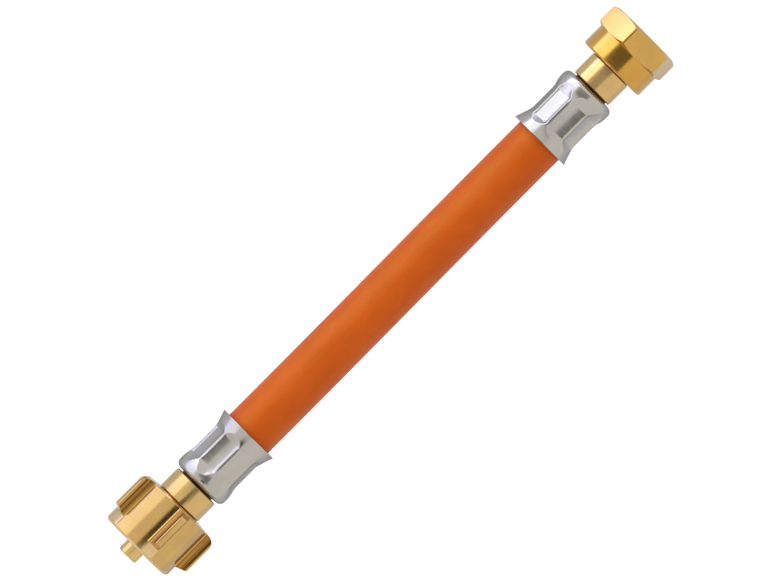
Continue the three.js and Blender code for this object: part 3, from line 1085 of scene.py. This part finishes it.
bpy.ops.object.select_all(action="DESELECT")
bpy.ops.mesh.primitive_plane_add(size=floor_size, location=(0, 0, -floor_gap * MM))
floor = bpy.context.object
floor.name = "table_top"
bpy.ops.object.transform_apply(location=True, rotation=True, scale=True)
table, table_shader, table_links = new_finish("white_table")
table_shader.inputs["Base Color"].default_value = (floor_white, floor_white, floor_white, 1)
table_shader.inputs["Roughness"].default_value = 0.9
table_shader.inputs["Specular IOR Level"].default_value = 0.0
# For glossy rays only, the table glows as a painted reflection. It is dim, at floor_in_metal, close to the
# hose. From 45 mm out on the side of +Y it carries a bluish painted reflection of the lamp, stronger
# towards the appliance end. Camera rays see it lifted towards white instead.
table_nodes = table.node_tree.nodes
place = table_nodes.new("ShaderNodeTexCoord")
sides = table_nodes.new("ShaderNodeSeparateXYZ")
painted_lamp_reflection = table_nodes.new("ShaderNodeMapRange")
painted_lamp_reflection.inputs["From Min"].default_value = lamp_in_table_from
painted_lamp_reflection.inputs["From Max"].default_value = lamp_in_table_to
painted_lamp_reflection.inputs["To Min"].default_value = floor_in_metal
table_links.new(place.outputs["Object"], sides.inputs["Vector"])
fading = end_to_end(table, sides, lamp_in_table_at_bottle, lamp_in_table_at_appliance)
table_links.new(fading, painted_lamp_reflection.inputs["To Max"])
table_links.new(sides.outputs["Y"], painted_lamp_reflection.inputs["Value"])
rays = table_nodes.new("ShaderNodeLightPath")
in_metal = table_nodes.new("ShaderNodeMath")
in_metal.operation = "MULTIPLY"
table_links.new(rays.outputs["Is Glossy Ray"], in_metal.inputs[0])
table_links.new(painted_lamp_reflection.outputs["Result"], in_metal.inputs[1])
shades(
    table,
    in_metal.outputs[0],
    table_shader.inputs["Emission Color"],
    [(floor_in_metal, (1, 1, 1)), (1.0, lamp_in_table_color)],
)
plain = table_nodes.new("ShaderNodeMath")
plain.operation = "MAXIMUM"
table_links.new(rays.outputs["Is Camera Ray"], plain.inputs[0])
table_links.new(rays.outputs["Is Transmission Ray"], plain.inputs[1])
lift = table_nodes.new("ShaderNodeMath")
lift.operation = "MULTIPLY"
lift.inputs[1].default_value = floor_lift
table_links.new(plain.outputs[0], lift.inputs[0])
glow = table_nodes.new("ShaderNodeMath")
glow.operation = "ADD"
table_links.new(in_metal.outputs[0], glow.inputs[0])
table_links.new(lift.outputs[0], glow.inputs[1])
table_links.new(glow.outputs[0], table_shader.inputs["Emission Strength"])
floor.data.materials.append(table)

world = bpy.data.worlds.new("white_room")
bpy.context.scene.world = world
world.use_nodes = True
room_nodes, room_links = world.node_tree.nodes, world.node_tree.links
sky = room_nodes["Background"]
looks = room_nodes.new("ShaderNodeLightPath")
tone = room_nodes.new("ShaderNodeMix")
tone.data_type = "RGBA"
tone.inputs["A"].default_value = (1, 1, 1, 1)
tone.inputs["B"].default_value = (*room_in_metal, 1)
room_links.new(looks.outputs["Is Glossy Ray"], tone.inputs["Factor"])
room_links.new(tone.outputs["Result"], sky.inputs["Color"])
straight = room_nodes.new("ShaderNodeMath")
straight.operation = "MAXIMUM"
room_links.new(looks.outputs["Is Camera Ray"], straight.inputs[0])
room_links.new(looks.outputs["Is Glossy Ray"], straight.inputs[1])
seen = room_nodes.new("ShaderNodeMath")
seen.operation = "MAXIMUM"
room_links.new(straight.outputs[0], seen.inputs[0])
room_links.new(looks.outputs["Is Transmission Ray"], seen.inputs[1])
level = room_nodes.new("ShaderNodeMapRange")
level.inputs["To Min"].default_value = room_level
level.inputs["To Max"].default_value = room_white
room_links.new(seen.outputs[0], level.inputs["Value"])
room_links.new(level.outputs["Result"], sky.inputs["Strength"])


def soft_lamp(name, place, size, energy):
    """A lamp without a hard edge that looks at the middle of the table, and that metal doesn't show."""
    bpy.ops.object.select_all(action="DESELECT")
    bpy.ops.object.light_add(type="AREA", location=place)
    lamp = bpy.context.object
    lamp.name = name
    lamp.data.shape = "RECTANGLE"
    lamp.data.size, lamp.data.size_y = size
    lamp.data.energy = energy
    lamp.visible_glossy = False
    lamp.rotation_euler = (-Vector(place)).to_track_quat("-Z", "Y").to_euler()
    return lamp


large_lamp = soft_lamp("large_soft_lamp", place=(0.0, 1.25, 0.40), size=(2.4, 0.85), energy=13.5)
large_lamp.data.color = large_lamp_color
soft_lamp("weak_soft_lamp", place=(0.1, -0.9, 1.0), size=(2.0, 0.8), energy=5)


def seen_in_metal(name, place, size, finish, upright=False):
    """A flat card that neither the camera nor the light meets, only what shines."""
    bpy.ops.object.select_all(action="DESELECT")
    turn = (math.pi / 2, 0, 0) if upright else (0, 0, 0)
    bpy.ops.mesh.primitive_plane_add(size=1, location=place, rotation=turn)
    card = bpy.context.object
    card.name = name
    card.scale = (*size, 1)
    bpy.ops.object.transform_apply(location=True, rotation=True, scale=True)
    card.data.materials.append(finish)
    card.visible_camera = False
    card.visible_diffuse = False
    card.visible_shadow = False


# Each card reaches from one place to another along the hose, and then across it, in millimetres. The last
# number is how brightly it glows.
# Each card is a painted reflection that only metal sees: a dim glow in the room's tint that draws the
# darker bands along the hose.
card_height = 85
dark_cards = {
    "card_over_bottle_nut": (-107, -87.3, 2.5, 27.0, 0.03),
    "card_over_bottle_stub": (-87.3, -79.5, -11.5, 21.7, 0.38),
    "card_over_bottle_ferrule": (-79.5, -57, -4.3, 58.0, 0.3),
    "card_over_appliance_ferrule": (62, 86.8, 0.0, 86.0, 0.3),
    "card_over_appliance_stub": (86.8, 95, 2.0, 55.7, 0.7),
    "card_over_appliance_nut": (95, 110.5, -3.5, 86.0, 0.16),
}
for name, (from_x, to_x, from_y, to_y, brightness) in dark_cards.items():
    painted_reflection, card_glow_shader = new_finish("felt_of_" + name)[:2]
    card_glow_shader.inputs["Base Color"].default_value = (0, 0, 0, 1)
    card_glow_shader.inputs["Roughness"].default_value = 1
    card_glow_shader.inputs["Specular IOR Level"].default_value = 0
    card_glow_shader.inputs["Emission Color"].default_value = (*room_in_metal, 1)
    card_glow_shader.inputs["Emission Strength"].default_value = brightness
    middle = Vector(((from_x + to_x) / 2, (from_y + to_y) / 2, card_height)) * MM
    seen_in_metal(name, middle, ((to_x - from_x) * MM, (to_y - from_y) * MM), painted_reflection)

# The upright panel glows, and only metal sees it: a painted highlight of the large lamp, weaker over the
# bottle end and stronger over the appliance end.
panel_glow_material, panel_glow_shader, panel_glow_links = new_finish("painted_highlight_panel")
panel_glow_shader.inputs["Base Color"].default_value = (0, 0, 0, 1)
panel_glow_shader.inputs["Emission Color"].default_value = (*panel_color, 1)
panel_glow_nodes = panel_glow_material.node_tree.nodes
panel_glow_coords = panel_glow_nodes.new("ShaderNodeTexCoord")
panel_glow_sides = panel_glow_nodes.new("ShaderNodeSeparateXYZ")
panel_glow_links.new(panel_glow_coords.outputs["Object"], panel_glow_sides.inputs["Vector"])
panel_glow_level = end_to_end(panel_glow_material, panel_glow_sides, panel_over_bottle_end, panel_over_appliance_end)
panel_glow_links.new(panel_glow_level, panel_glow_shader.inputs["Emission Strength"])
seen_in_metal("bright_panel", panel_place, panel_size, panel_glow_material, upright=True)

scene = bpy.context.scene
scene.view_settings.view_transform = "Standard"
